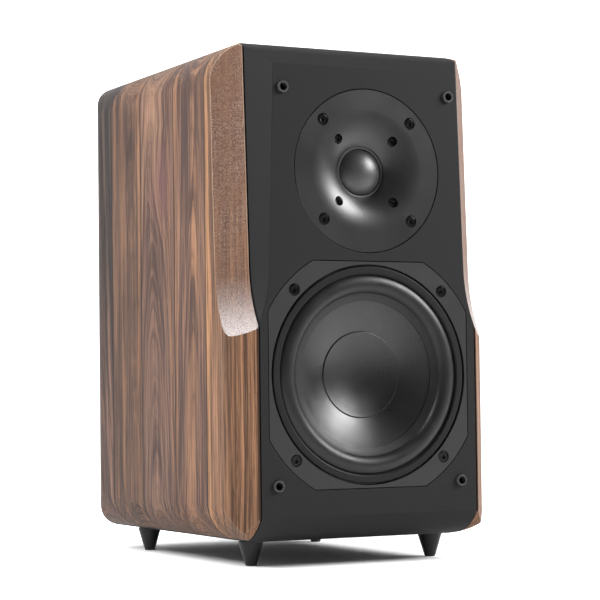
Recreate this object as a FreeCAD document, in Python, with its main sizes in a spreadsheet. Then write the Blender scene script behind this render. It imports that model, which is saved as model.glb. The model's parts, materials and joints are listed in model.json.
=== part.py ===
"""A two-way standmount loudspeaker, as a parametric assembly of separate pieces.

+X is to the right of someone facing the speaker, +Y runs from the front to the back, +Z is up.
The origin is on the floor, under the middle of the cabinet. All lengths are in millimetres.
Depths in the sheet are measured from the face of the front baffle, into the cabinet.
"""
import FreeCAD, Part
import math
import os
import re
import Sketcher

Vector = FreeCAD.Vector

DIMENSIONS = {
    # Cabinet envelope
    "half_width": 120.0,
    "front_y": -158.0,
    "depth": 316.4,
    "floor_gap": 20.0,
    "top_z": 427.0,
    "corner_radius": 32.0,
    "rear_radius": 30.0,
    "rear_edge_radius": 6.0,
    # Front edges
    "top_edge_z": 405.0,
    "top_bevel_depth": 17.2,
    "top_bevel_drop": 9.9,
    "top_bevel_radius": 55.0,
    "top_bevel_end": 47.0,
    "bottom_edge_z": 40.9,
    "bottom_round_radius": 45.0,
    "bottom_round_end": 38.0,
    "chamfer_x": 101.5,
    "chamfer_side_x": 116.1,
    "chamfer_side_depth": 17.4,
    "chamfer_radius": 16.4,
    "chamfer_end": 28.0,
    # Scooped cheeks beside the tweeter
    "scoop_x": 90.4,
    "scoop_depth": 40.0,
    "scoop_radius": 220.0,
    "runout_radius": 165.0,
    "runout_z": 243.0,
    "scoop_lean": 1.5,
    # Cabinet boards
    "side_thickness": 19.2,
    "baffle_thickness": 40.0,
    "shadow_gap": 1.2,
    "board_thickness": 22.0,
    "rear_thickness": 25.0,
    "seam_1": 58.0,
    "seam_2": 121.0,
    "seam_3": 192.0,
    "seam_4": 259.0,
    "brace_z": 240.0,
    "brace_thickness": 15.0,
    "brace_window_x": 66.0,
    "brace_window_front": 78.0,
    "brace_window_rear": 252.0,
    "pad_thickness": 12.0,
    # Woofer
    "woofer_z": 154.5,
    "frame_radius": 105.3,
    "frame_flat": 92.0,
    "frame_thickness": 6.0,
    "frame_gap": 0.7,
    "seal_thickness": 1.5,
    "woofer_hole_radius": 90.0,
    "woofer_screw_offset": 68.44,
    "ring_gap_radius": 89.0,
    "ring_gap_width": 1.7,
    "seat_depth": 3.5,
    "seat_radius": 80.5,
    "roll_outer_radius": 81.5,
    "roll_inner_radius": 66.5,
    "roll_crest": 0.8,
    "rubber_thickness": 1.0,
    "cone_edge_radius": 60.0,
    "cone_edge_depth": 7.0,
    "cone_rim_radius": 66.5,
    "cap_radius": 35.0,
    "cap_edge_depth": 16.0,
    "cap_sag": 5.5,
    "cap_thickness": 0.8,
    "neck_depth": 26.0,
    "cone_thickness": 1.2,
    "former_radius": 19.4,
    "former_length": 32.0,
    "winding_thickness": 1.0,
    "winding_start": 45.0,
    "winding_length": 12.0,
    "shelf_depth": 39.6,
    "spider_radius": 52.0,
    "spider_thickness": 1.0,
    "basket_floor": 44.0,
    "basket_end": 48.0,
    "top_plate_thickness": 6.0,
    "top_plate_radius": 47.0,
    "magnet_radius": 50.0,
    "magnet_thickness": 18.0,
    "back_plate_thickness": 6.0,
    "coil_clearance": 0.5,
    # Tweeter
    "tweeter_z": 321.1,
    "plate_radius": 67.0,
    "plate_gap": 0.6,
    "plate_thickness": 5.0,
    "horn_radius": 50.0,
    "horn_curve": 43.2,
    "throat_radius": 21.2,
    "throat_depth": 11.0,
    "boss_radius": 44.0,
    "boss_depth": 13.6,
    "tweeter_hole_radius": 47.0,
    "tweeter_screw_offset": 40.55,
    "inner_screw_offset": 25.3,
    "dome_radius": 19.0,
    "dome_height": 9.0,
    "dome_thickness": 0.4,
    "surround_radius": 22.6,
    "surround_lift": 1.5,
    "tweeter_motor_radius": 41.0,
    "tweeter_gap_plate": 4.0,
    "tweeter_magnet": 10.0,
    "tweeter_back_plate": 5.0,
    "tweeter_chamber": 20.0,
    "tweeter_coil_radius": 18.9,
    # Grille sockets
    "upper_socket_x": 77.2,
    "upper_socket_z": 385.9,
    "lower_socket_x": 84.85,
    "lower_socket_z": 66.1,
    "socket_radius": 4.75,
    "socket_bore": 3.15,
    "socket_proud": 2.4,
    "socket_length": 14.0,
    "socket_floor": 2.0,
    "socket_edge": 0.5,
    # Screws
    "screw_seat": 3.6,
    "screw_counterbore": 5.0,
    "screw_head_radius": 4.5,
    "screw_head_height": 3.2,
    "screw_head_edge": 0.4,
    "screw_point": 1.2,
    "hexagon_share": 0.48,
    "hexagon_depth": 1.9,
    "woofer_clear_radius": 2.6,
    "woofer_pilot_radius": 2.5,
    "woofer_shank_radius": 2.4,
    "woofer_screw_length": 24.0,
    "tweeter_clear_radius": 2.1,
    "tweeter_pilot_radius": 2.0,
    "tweeter_shank_radius": 1.9,
    "tweeter_screw_length": 22.0,
    "pilot_floor": 6.0,
    "motor_screw_seat": 7.0,
    "motor_counterbore": 4.1,
    "motor_head_radius": 3.6,
    "motor_clear_radius": 1.7,
    "motor_pilot_radius": 1.65,
    "motor_shank_radius": 1.6,
    "motor_screw_length": 9.0,
    # Feet
    "foot_x": 84.7,
    "foot_front": 52.0,
    "foot_rear": 262.0,
    "foot_top_radius": 10.25,
    "foot_tip_radius": 4.5,
    "foot_edge": 0.8,
    "stud_radius": 3.0,
    "stud_length": 14.0,
    # Port
    "port_z": 318.0,
    "port_radius": 33.0,
    "port_wall": 2.5,
    "port_length": 118.0,
    "port_flare": 12.0,
    "port_flange": 4.0,
    "port_mouth": 8.0,
    # Terminals
    "terminal_z": 112.0,
    "cup_half_width": 40.0,
    "cup_half_height": 32.0,
    "cup_wall": 3.0,
    "cup_depth": 24.0,
    "cup_lip": 12.0,
    "cup_screw_x": 46.0,
    "cup_screw_z": 38.0,
    "cup_clear_radius": 1.7,
    "cup_pilot_radius": 1.6,
    "cup_shank_radius": 1.5,
    "cup_screw_length": 18.0,
    "cup_head_radius": 3.2,
    "cup_head_height": 2.0,
    "cup_fit": 0.3,
    "post_spacing": 19.05,
    "post_radius": 3.5,
    "post_bore": 2.05,
    "post_cap_radius": 6.5,
    "post_cap_length": 13.0,
    "post_collar": 4.0,
    "post_tail": 14.0,
    "post_reach": 18.2,
    "post_flute": 1.1,
    "post_clearance": 0.08,
    "washer_thickness": 1.0,
    "washer_rest": 0.1,
    "bore_length": 18.0,
    # Crossover
    "board_half_width": 55.0,
    "crossover_front": 150.0,
    "crossover_rear": 250.0,
    "crossover_lift": 6.0,
    "crossover_thickness": 1.6,
    "inductor_radius": 21.0,
    "inductor_bore": 9.0,
    "inductor_height": 16.0,
    "capacitor_radius": 10.0,
    "capacitor_length": 34.0,
    "resistor_width": 9.0,
    "resistor_length": 34.0,
    "lead_radius": 1.3,
}

doc = FreeCAD.newDocument("Loudspeaker")
sheet = doc.addObject("Spreadsheet::Sheet", "Dimensions")
for row, (alias, size) in enumerate(DIMENSIONS.items(), start=1):
    sheet.set("A%d" % row, alias)
    sheet.set("B%d" % row, str(size))
    sheet.setAlias("B%d" % row, alias)
doc.recompute()

ALIASES = re.compile(r"\b(%s)\b" % "|".join(DIMENSIONS))
pieces = []


# ---------------------------------------------------------------- helpers

def linked(formula):
    """The formula as the document's objects read it, with every size taken from the sheet."""
    return ALIASES.sub(r"Dimensions.\1", str(formula))


def size_of(formula):
    """The formula's value with the sheet's present sizes."""
    return float(sheet.evalExpression(str(formula)))


def bind(item, **formulas):
    """Bind properties, such as Length or Placement__Base__x, to formulas."""
    for name, formula in formulas.items():
        item.setExpression(name.replace("__", "."), linked(formula))
    return item


def piece(item, label):
    """Name a finished sub-part."""
    item.Label = label
    pieces.append(item)
    return item


def body(name, y=None, z=None, x=None):
    """An empty body at a place in the cabinet."""
    item = doc.addObject("PartDesign::Body", name)
    for axis, formula in (("x", x), ("y", y), ("z", z)):
        if formula is not None:
            item.setExpression("Placement.Base.%s" % axis, linked(formula))
    return item


def sketch_on(owner, role, name, offset=None):
    """A sketch on one of the body's own origin planes."""
    plane = [item for item in owner.Origin.OriginFeatures if item.Role == role][0]
    drawing = owner.newObject("Sketcher::SketchObject", name)
    drawing.AttachmentSupport = (plane, [""])
    drawing.MapMode = "FlatFace"
    if offset is not None:
        drawing.setExpression("AttachmentOffset.Base.z", linked(offset))
    return drawing


def pin(drawing, edge, point, x, y):
    """Fix one point of a sketch at formulas for its two coordinates."""
    for kind, formula in (("DistanceX", x), ("DistanceY", y)):
        constraint = Sketcher.Constraint(kind, -1, 1, edge, point, size_of(formula))
        number = drawing.addConstraint(constraint)
        drawing.setExpression("Constraints[%d]" % number, linked(formula))


def outline(drawing, corners):
    """A closed outline. A corner is (x, y) before a line, or (x, y, radius) before an arc.

    A positive radius turns the arc to the left of its travel, a negative one to the right.
    """
    first = drawing.GeometryCount
    ends = []
    spots = [Vector(size_of(corner[0]), size_of(corner[1]), 0) for corner in corners]
    for number, corner in enumerate(corners):
        start = spots[number]
        end = spots[(number + 1) % len(spots)]
        if len(corner) == 2:
            drawing.addGeometry(Part.LineSegment(start, end), False)
            ends.append((1, 2))
            continue
        radius = size_of(corner[2])
        chord = end - start
        height = math.sqrt(max(radius ** 2 - chord.Length ** 2 / 4, 0))
        left = Vector(-chord.y, chord.x, 0).normalize()
        centre = (start + end) * 0.5 + left * math.copysign(height, radius)
        circle = Part.Circle(centre, Vector(0, 0, 1), abs(radius))
        angles = [math.atan2(spot.y - centre.y, spot.x - centre.x) for spot in (start, end)]
        if radius < 0:
            angles.reverse()
        drawing.addGeometry(Part.ArcOfCircle(circle, *angles), False)
        ends.append((1, 2) if radius > 0 else (2, 1))
    for number, corner in enumerate(corners):
        following = (number + 1) % len(corners)
        joined = (first + number, ends[number][1], first + following, ends[following][0])
        drawing.addConstraint(Sketcher.Constraint("Coincident", *joined))
        pin(drawing, first + number, ends[number][0], corner[0], corner[1])
        if len(corner) == 3:
            value = abs(size_of(corner[2]))
            rule = drawing.addConstraint(Sketcher.Constraint("Radius", first + number, value))
            drawing.setExpression("Constraints[%d]" % rule, "abs(%s)" % linked(corner[2]))
    return drawing


def circle(drawing, x, y, radius):
    """A circle with its centre and radius bound to formulas."""
    edge = drawing.addGeometry(Part.Circle(Vector(size_of(x), size_of(y), 0),
                                           Vector(0, 0, 1), size_of(radius)), False)
    pin(drawing, edge, 3, x, y)
    rule = drawing.addConstraint(Sketcher.Constraint("Radius", edge, size_of(radius)))
    drawing.setExpression("Constraints[%d]" % rule, linked(radius))
    return drawing


def rectangle(drawing, left, bottom, right, top):
    """A rectangle between two corners."""
    corners = [(left, bottom), (right, bottom), (right, top), (left, top)]
    return outline(drawing, corners)


def feature(owner, kind, name, drawing, length=None, reverse=False, through=False):
    """A Pad or Pocket of a sketch."""
    item = owner.newObject("PartDesign::" + kind, name)
    item.Profile = drawing
    item.Reversed = reverse
    if through:
        item.Type = "ThroughAll"
        item.Midplane = True
    else:
        item.setExpression("Length", linked(length))
    owner.Tip = item
    return item


def spun(owner, drawing, name, kind="Revolution"):
    """Turn a sketch about the second axis of its plane."""
    item = owner.newObject("PartDesign::" + kind, name)
    item.Profile = drawing
    item.ReferenceAxis = (drawing, ["V_Axis"])
    item.Angle = 360
    owner.Tip = item
    return item


def turned(label, corners, y="front_y", z=None, x=None, done=True):
    """A sub-part turned about its own Y axis, from (radius, depth) corners."""
    owner = body(label, y=y, z=z, x=x)
    spun(owner, outline(sketch_on(owner, "XY_Plane", label + "_profile"), corners), label + "_turn")
    return piece(owner, label) if done else owner


def around(owner, source, name, count):
    """Repeat a feature evenly about the body's Y axis."""
    axis = [item for item in owner.Origin.OriginFeatures if item.Role == "Y_Axis"][0]
    item = owner.newObject("PartDesign::PolarPattern", name)
    item.Originals = [source]
    item.Axis = (axis, [""])
    item.Angle = 360
    item.Occurrences = count
    owner.Tip = item
    return item


def box(name, left, right, front, rear, bottom, top):
    """A plain box between six planes, with front and rear measured from the baffle's face."""
    item = doc.addObject("Part::Box", name)
    return bind(item,
                Length="(%s) - (%s)" % (right, left),
                Width="(%s) - (%s)" % (rear, front),
                Height="(%s) - (%s)" % (top, bottom),
                Placement__Base__x=left,
                Placement__Base__y="front_y + (%s)" % front,
                Placement__Base__z=bottom)


def combine(kind, name, base, tool):
    """A Part::Common, Part::Cut or Part::Fuse of two objects."""
    item = doc.addObject("Part::" + kind, name)
    item.Base = base
    item.Tool = tool
    return item


def group(name, members):
    """Several separate solids kept as one object."""
    item = doc.addObject("Part::Compound", name)
    item.Links = members
    return item


def with_mirror(name, source, normal, **base):
    """An object together with its mirror image."""
    image = doc.addObject("Part::Mirroring", name + "_image")
    image.Source = source
    image.Normal = normal
    for axis, formula in base.items():
        image.setExpression("Base." + axis, linked(formula))
    return group(name, [source, image])


# ---------------------------------------------------------------- cabinet

def cabinet_envelope():
    """The cabinet's whole outer form, from which its boards and staves are taken."""
    owner = body("cabinet_envelope", y="front_y")
    face = rectangle(sketch_on(owner, "XZ_Plane", "envelope_face"),
                     "-half_width", "floor_gap", "half_width", "top_z")
    block = feature(owner, "Pad", "envelope_block", face, "depth", reverse=True)
    doc.recompute()
    long_edges = ["Edge%d" % (number + 1) for number, edge in enumerate(block.Shape.Edges)
                  if abs(edge.tangentAt(edge.FirstParameter).y) > 0.99]
    corners = owner.newObject("PartDesign::Fillet", "envelope_corners")
    corners.Base = (block, long_edges)
    corners.setExpression("Radius", "Dimensions.corner_radius")
    owner.Tip = corners
    cut_rear_edges(owner)
    cut_front_edges(owner)
    cut_side_edges(owner)
    return owner


def cut_rear_edges(owner):
    """The small rounds along the top and bottom of the back."""
    for name, sign, level in (("top", "-", "top_z"), ("bottom", "+", "floor_gap")):
        outward = "+" if sign == "-" else "-"
        turn = "rear_edge_radius" if sign == "+" else "-rear_edge_radius"
        profile = outline(sketch_on(owner, "YZ_Plane", "rear_%s_edge" % name), [
            ("depth - rear_edge_radius", "%s %s 0.02" % (level, outward), turn),
            ("depth + 0.02", "%s %s rear_edge_radius" % (level, sign)),
            ("depth + 10", "%s %s rear_edge_radius" % (level, sign)),
            ("depth + 10", "%s %s 10" % (level, outward)),
            ("depth - rear_edge_radius", "%s %s 10" % (level, outward)),
        ])
        feature(owner, "Pocket", "rear_%s_edge_cut" % name, profile, through=True)


def cut_front_edges(owner):
    """The bevel along the top front edge and the round along the bottom one."""
    slope = "(top_bevel_drop / top_bevel_depth)"
    bevel_top = "top_edge_z + %s * top_bevel_depth * 1.224" % slope
    top = outline(sketch_on(owner, "YZ_Plane", "top_bevel"), [
        ("-5", "top_edge_z - 5 * (%s - top_edge_z) / top_bevel_depth" % bevel_top),
        ("top_bevel_depth", bevel_top, "-top_bevel_radius"),
        ("top_bevel_end", "top_z + 0.03"),
        ("top_bevel_end", "top_z + 10"),
        ("-5", "top_z + 10"),
    ])
    feature(owner, "Pocket", "top_bevel_cut", top, through=True)
    bottom = outline(sketch_on(owner, "YZ_Plane", "bottom_round"), [
        ("bottom_round_end", "floor_gap - 0.03", "-bottom_round_radius"),
        ("-0.5", "bottom_edge_z + 0.8"),
        ("-5", "bottom_edge_z + 0.8"),
        ("-5", "floor_gap - 10"),
        ("bottom_round_end", "floor_gap - 10"),
    ])
    feature(owner, "Pocket", "bottom_round_cut", bottom, through=True)


def cut_side_edges(owner):
    """The chamfers beside the woofer, the rear corners and the cheeks beside the tweeter."""
    chamfer = outline(sketch_on(owner, "XY_Plane", "side_chamfer"), [
        ("chamfer_x - 4", "-4 * chamfer_side_depth / (chamfer_side_x - chamfer_x)"),
        ("half_width + 10", "-5"),
        ("half_width + 10", "chamfer_end"),
        ("half_width + 0.03", "chamfer_end", "-chamfer_radius"),
        ("chamfer_side_x", "chamfer_side_depth"),
    ])
    bevel = feature(owner, "Pocket", "side_chamfer_cut", chamfer, through=True)
    corner = outline(sketch_on(owner, "XY_Plane", "rear_corner"), [
        ("half_width + 0.02", "depth - rear_radius", "rear_radius"),
        ("half_width - rear_radius", "depth + 0.02"),
        ("half_width - rear_radius", "depth + 10"),
        ("half_width + 10", "depth + 10"),
        ("half_width + 10", "depth - rear_radius"),
    ])
    round_off = feature(owner, "Pocket", "rear_corner_cut", corner, through=True)
    width = size_of("half_width - scoop_x")
    reach = size_of("scoop_depth")
    chord = math.hypot(width, reach)
    section = sketch_on(owner, "XY_Plane", "scoop_section")
    turn = FreeCAD.Rotation(Vector(0, 0, 1), math.degrees(math.atan2(reach, width)))
    lean = FreeCAD.Rotation(Vector(1, 0, 0), -size_of("scoop_lean"))
    origin = Vector(size_of("scoop_x"), 0, size_of("runout_z"))
    section.AttachmentOffset = FreeCAD.Placement(origin, turn * lean)
    margin = 8.0
    sag = (margin ** 2 + margin * chord) / (2 * size_of("scoop_radius"))
    outline(section, [
        (-margin, -sag),
        (-margin, "-40"),
        (chord + margin, "-40"),
        (chord + margin, -sag, "scoop_radius"),
    ])
    axis = section.addGeometry(Part.LineSegment(Vector(0, -size_of("runout_radius"), 0),
                                                Vector(chord, -size_of("runout_radius"), 0)), True)
    pin(section, axis, 1, "0", "-runout_radius")
    pin(section, axis, 2, chord, "-runout_radius")
    cheek = feature(owner, "Pocket", "scoop_cut", section, "top_z", reverse=True)
    runout = owner.newObject("PartDesign::Groove", "scoop_runout")
    runout.Profile = section
    runout.ReferenceAxis = (section, ["Axis0"])
    runout.Angle = 60
    runout.Reversed = True
    owner.Tip = runout
    doc.recompute()
    mirror = owner.newObject("PartDesign::Mirrored", "other_side")
    plane = [item for item in owner.Origin.OriginFeatures if item.Role == "YZ_Plane"][0]
    mirror.Originals = [bevel, round_off, cheek, runout]
    mirror.MirrorPlane = (plane, [""])
    owner.Tip = mirror


def side_staves(envelope):
    """Solid walnut staves, glued edge to edge into the two sides."""
    seams = ["-5", "seam_1", "seam_2", "seam_3", "seam_4", "depth + 5"]
    inner = "half_width - side_thickness"
    outer = "half_width + 5"
    for side, left, right in (("left", "-(%s)" % outer, "-(%s)" % inner),
                              ("right", inner, outer)):
        for number in range(5):
            slab = box("%s_slab_%d" % (side, number + 1), left, right,
                       seams[number], seams[number + 1], "floor_gap - 5", "top_z + 5")
            name = "%s_side_stave_%d" % (side, number + 1)
            piece(combine("Common", name, envelope, slab), name)


def core_board(name, envelope, *limits):
    """A board between the two sides, shaped by the envelope where it meets the outside."""
    return combine("Common", name + "_blank", envelope, box(name + "_slab", *limits))


def front_baffle(envelope):
    """The thick front board: driver recesses, screw pilots and through holes for the sockets."""
    half = "half_width - side_thickness - shadow_gap"
    blank = core_board("front_baffle", envelope, "-(%s)" % half, half,
                       "-5", "baffle_thickness", "floor_gap - 5", "top_z + 5")
    owner = doc.addObject("PartDesign::Body", "front_baffle")
    owner.BaseFeature = blank
    recess = sketch_on(owner, "XZ_Plane", "woofer_recess", "-front_y")
    truncated_circle(recess, "frame_radius + frame_gap", "frame_flat + frame_gap", "woofer_z")
    feature(owner, "Pocket", "woofer_recess_cut", recess, "frame_thickness + seal_thickness")
    cuts = [
        ("woofer_hole", "0", "woofer_z", "woofer_hole_radius", "baffle_thickness + 1"),
        ("tweeter_recess", "0", "tweeter_z", "plate_radius + plate_gap", "plate_thickness + 1"),
        ("tweeter_hole", "0", "tweeter_z", "tweeter_hole_radius", "baffle_thickness + 1"),
    ]
    for name, x, z, radius, length in cuts:
        drawing = circle(sketch_on(owner, "XZ_Plane", name, "-front_y"), x, z, radius)
        feature(owner, "Pocket", name + "_cut", drawing, length)
    holes = sketch_on(owner, "XZ_Plane", "socket_holes", "-front_y")
    for sign in ("-", ""):
        circle(holes, sign + "upper_socket_x", "upper_socket_z", "socket_radius")
        circle(holes, sign + "lower_socket_x", "lower_socket_z", "socket_radius")
    feature(owner, "Pocket", "socket_holes_cut", holes, "baffle_thickness + 1")
    screws = sketch_on(owner, "XZ_Plane", "screw_holes", "-front_y")
    for across in ("-", ""):
        for up in ("-", "+"):
            circle(screws, across + "woofer_screw_offset",
                   "woofer_z %s woofer_screw_offset" % up, "woofer_pilot_radius")
            circle(screws, across + "tweeter_screw_offset",
                   "tweeter_z %s tweeter_screw_offset" % up, "tweeter_pilot_radius")
    feature(owner, "Pocket", "screw_holes_cut", screws, "baffle_thickness - pilot_floor")
    piece(owner, "front_baffle")


def truncated_circle(drawing, radius, flat, z):
    """A circle cut by four flats, as a driver's chassis has."""
    reach = "sqrt((%s)^2 - (%s)^2)" % (radius, flat)
    sides = [("(%s)" % flat, "(%s)" % reach), ("(%s)" % reach, "(%s)" % flat)]
    corners = []
    for x_sign, y_sign, order in (("", "+", 1), ("-", "+", -1), ("-", "-", 1), ("", "-", -1)):
        for index, (x, y) in enumerate(sides[::order]):
            spot = (x_sign + x, "%s %s %s" % (z, y_sign, y))
            corners.append(spot + (radius,) if index == 0 else spot)
    return outline(drawing, corners)


def closing_boards(envelope):
    """The top, bottom and rear boards between the sides."""
    half = "half_width - side_thickness"
    inner_rear = "depth - rear_thickness"
    top = core_board("top_panel", envelope, "-(%s)" % half, half, "baffle_thickness", inner_rear,
                     "top_z - board_thickness", "top_z + 5")
    piece(top, "top_panel")
    bottom = core_board("bottom_panel", envelope, "-(%s)" % half, half, "baffle_thickness",
                        inner_rear, "floor_gap - 5", "floor_gap + board_thickness")
    studs = foot_stud_tools("stud_holes", "stud_radius", "floor_gap - 1", "stud_length + 1")
    piece(combine("Cut", "bottom_panel", bottom, studs), "bottom_panel")
    rear_panel(core_board("rear_panel", envelope, "-(%s)" % half, half, inner_rear, "depth + 5",
                          "floor_gap - 5", "top_z + 5"))


def rear_panel(blank):
    """The back board, with holes for the port and the terminal cup."""
    owner = doc.addObject("PartDesign::Body", "rear_panel")
    owner.BaseFeature = blank
    face = "-(front_y + depth)"
    openings = sketch_on(owner, "XZ_Plane", "rear_openings", face)
    circle(openings, "0", "port_z", "port_radius + port_wall")
    rectangle(openings, "-(cup_half_width)", "terminal_z - cup_half_height",
              "cup_half_width", "terminal_z + cup_half_height")
    feature(owner, "Pocket", "rear_openings_cut", openings, "rear_thickness + 5", reverse=True)
    seats = sketch_on(owner, "XZ_Plane", "rear_seats", face)
    circle(seats, "0", "port_z", "port_radius + port_wall + port_flare")
    rectangle(seats, "-(cup_half_width + cup_lip)", "terminal_z - cup_half_height - cup_lip",
              "cup_half_width + cup_lip", "terminal_z + cup_half_height + cup_lip")
    feature(owner, "Pocket", "rear_seats_cut", seats, "port_flange", reverse=True)
    holes = sketch_on(owner, "XZ_Plane", "cup_screw_holes", face)
    for across in ("-", ""):
        for up in ("-", "+"):
            circle(holes, across + "cup_screw_x", "terminal_z %s cup_screw_z" % up,
                   "cup_pilot_radius")
    feature(owner, "Pocket", "cup_screw_holes_cut", holes, "rear_thickness - 5", reverse=True)
    piece(owner, "rear_panel")


def window_brace():
    """A level board with a large window, which ties the four walls together."""
    half = "half_width - side_thickness"
    owner = body("window_brace", y="front_y", z="brace_z")
    plan = sketch_on(owner, "XY_Plane", "brace_plan")
    rectangle(plan, "-(%s)" % half, "baffle_thickness", half, "depth - rear_thickness")
    rectangle(plan, "-brace_window_x", "brace_window_front", "brace_window_x", "brace_window_rear")
    feature(owner, "Pad", "brace_board", plan, "brace_thickness")
    piece(owner, "window_brace")


def wool_pads():
    """Wool felt pads on the side walls and under the top."""
    wall = "half_width - side_thickness"
    low = "floor_gap + board_thickness + 14"
    for side, left, right in (("left", "-(%s)" % wall, "-(%s) + pad_thickness" % wall),
                              ("right", "%s - pad_thickness" % wall, wall)):
        piece(box(side + "_wool_pad", left, right, "baffle_thickness + 10",
                  "depth - rear_thickness - 10", low, "brace_z - 8"), side + "_wool_pad")
    top = "top_z - board_thickness"
    piece(box("top_wool_pad", "-(%s) + 8" % wall, "%s - 8" % wall, "baffle_thickness + 16",
              "depth - rear_thickness - 12", top + " - pad_thickness", top), "top_wool_pad")


# ---------------------------------------------------------------- woofer

def woofer_basket():
    """Cast chassis: a truncated ring, six windows, a shelf for the spider and a magnet seat."""
    gap = "ring_gap_radius - ring_gap_width / 2"
    wide = "ring_gap_radius + ring_gap_width / 2"
    owner = turned("woofer_basket", [
        (wide, "0"),
        ("frame_radius + 1", "0"),
        ("frame_radius + 1", "frame_thickness"),
        ("woofer_hole_radius - 1.5", "frame_thickness"),
        ("woofer_hole_radius - 1.5", "frame_thickness + 6"),
        ("spider_radius + 4", "basket_end"),
        ("former_radius + 10", "basket_end"),
        ("former_radius + 10", "basket_floor"),
        ("spider_radius - 5", "basket_floor"),
        ("spider_radius - 5", "shelf_depth"),
        ("spider_radius + 1", "shelf_depth"),
        ("seat_radius", "frame_thickness + 5"),
        ("seat_radius", "seat_depth"),
        (gap, "seat_depth"),
        (gap, "seat_depth + 1"),
        (wide, "seat_depth + 1"),
    ], z="woofer_z", done=False)
    rim = sketch_on(owner, "XZ_Plane", "basket_rim")
    truncated_circle(rim, "frame_radius", "frame_flat", "0")
    circle(rim, "0", "0", "frame_radius + 20")
    feature(owner, "Pocket", "basket_rim_cut", rim, "frame_thickness + 1")
    window = sketch_on(owner, "XZ_Plane", "basket_window", "-(frame_thickness + 9)")
    outline(window, [
        ("spider_radius + 5", "-13"),
        ("seat_radius + 6", "-24"),
        ("seat_radius + 6", "24"),
        ("spider_radius + 5", "13"),
    ])
    cut = feature(owner, "Pocket", "basket_window_cut", window, "basket_end")
    doc.recompute()
    windows = around(owner, cut, "basket_windows", 6)
    doc.recompute()
    holes = sketch_on(owner, "XZ_Plane", "basket_holes")
    heads = sketch_on(owner, "XZ_Plane", "basket_heads")
    for across in ("-", ""):
        for up in ("-", ""):
            spot = (across + "woofer_screw_offset", up + "woofer_screw_offset")
            circle(holes, *spot, "woofer_clear_radius")
            circle(heads, *spot, "screw_counterbore")
    feature(owner, "Pocket", "basket_holes_cut", holes, "frame_thickness + 1")
    feature(owner, "Pocket", "basket_heads_cut", heads, "screw_seat")
    piece(owner, "woofer_basket")


def woofer_seal():
    """Foam gasket between the chassis and the baffle's recess."""
    owner = body("woofer_seal", y="front_y + frame_thickness", z="woofer_z")
    plan = sketch_on(owner, "XZ_Plane", "seal_plan")
    truncated_circle(plan, "frame_radius", "frame_flat", "0")
    circle(plan, "0", "0", "woofer_hole_radius")
    for across in ("-", ""):
        for up in ("-", ""):
            circle(plan, across + "woofer_screw_offset", up + "woofer_screw_offset",
                   "woofer_clear_radius")
    feature(owner, "Pad", "seal_sheet", plan, "seal_thickness", reverse=True)
    piece(owner, "woofer_seal")


def arc_through(half, rise):
    """The radius of an arc that is level at its crest and falls by a rise over a half width."""
    return "(%s^2 + %s^2) / (2 * %s)" % (half, rise, rise)


def woofer_soft_parts():
    """The rubber surround, its trim ring and the spider."""
    gap = "ring_gap_radius - ring_gap_width / 2"
    flange = "(seat_depth - rubber_thickness)"
    turned("woofer_trim_ring", [
        ("roll_outer_radius + 0.6", "0.6"),
        ("roll_outer_radius + 1.2", "0"),
        (gap, "0"),
        (gap, flange),
        ("roll_outer_radius + 0.6", flange),
    ], z="woofer_z")
    land = "(cone_edge_depth - 2.2 - rubber_thickness)"
    half = "((roll_outer_radius - roll_inner_radius) / 2)"
    middle = "(roll_outer_radius + roll_inner_radius) / 2"
    inner = arc_through(half, "(%s + roll_crest)" % land)
    outer = arc_through(half, "(%s + roll_crest)" % flange)
    turned("woofer_surround", [
        ("cone_edge_radius", "cone_edge_depth - rubber_thickness"),
        ("roll_inner_radius", land, "-(%s)" % inner),
        (middle, "-roll_crest", "-(%s)" % outer),
        ("roll_outer_radius", flange),
        (gap, flange),
        (gap, "seat_depth"),
        ("roll_outer_radius - 0.8", "seat_depth", "%s - 0.8" % outer),
        (middle, "-roll_crest + rubber_thickness", "%s - 0.6" % inner),
        ("roll_inner_radius + 0.8", "%s + rubber_thickness" % land),
        ("roll_inner_radius - 0.5", "%s + rubber_thickness" % land),
        ("cone_edge_radius", "cone_edge_depth"),
    ], z="woofer_z")
    turned("woofer_spider", [
        ("former_radius + 0.3", "shelf_depth - spider_thickness"),
        ("spider_radius", "shelf_depth - spider_thickness"),
        ("spider_radius", "shelf_depth"),
        ("former_radius + 0.3", "shelf_depth"),
    ], z="woofer_z")


def woofer_moving_parts():
    """The cone, its inverted dust cap and the voice coil."""
    thick = "cone_thickness"
    turned("woofer_cone", [
        ("former_radius + 0.05", "neck_depth"),
        ("cap_radius", "cap_edge_depth", "-170"),
        ("cone_edge_radius", "cone_edge_depth"),
        ("cone_rim_radius", "cone_edge_depth - 2"),
        ("cone_rim_radius", "cone_edge_depth - 2 + %s" % thick),
        ("cone_edge_radius", "cone_edge_depth + %s" % thick),
        ("cap_radius + 0.4", "cap_edge_depth + %s" % thick, "170"),
        ("former_radius + 0.05", "neck_depth + %s + 2" % thick),
    ], z="woofer_z")
    sphere = "(cap_radius^2 + cap_sag^2) / (2 * cap_sag)"
    turned("woofer_dust_cap", [
        ("0", "cap_edge_depth + cap_sag - cap_thickness", "-(%s)" % sphere),
        ("cap_radius", "cap_edge_depth - cap_thickness"),
        ("cap_radius", "cap_edge_depth", sphere),
        ("0", "cap_edge_depth + cap_sag"),
    ], z="woofer_z")
    ring("voice_coil_former", "former_radius - 0.4", "former_radius",
         "neck_depth + 0.5", "neck_depth + 0.5 + former_length", "woofer_z")
    ring("voice_coil_winding", "former_radius", "former_radius + winding_thickness",
         "winding_start", "winding_start + winding_length", "woofer_z")


def ring(label, inner, outer, front, rear, z):
    """A plain tube or washer on a driver's axis."""
    return turned(label, [(inner, front), (outer, front), (outer, rear), (inner, rear)], z=z)


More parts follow.
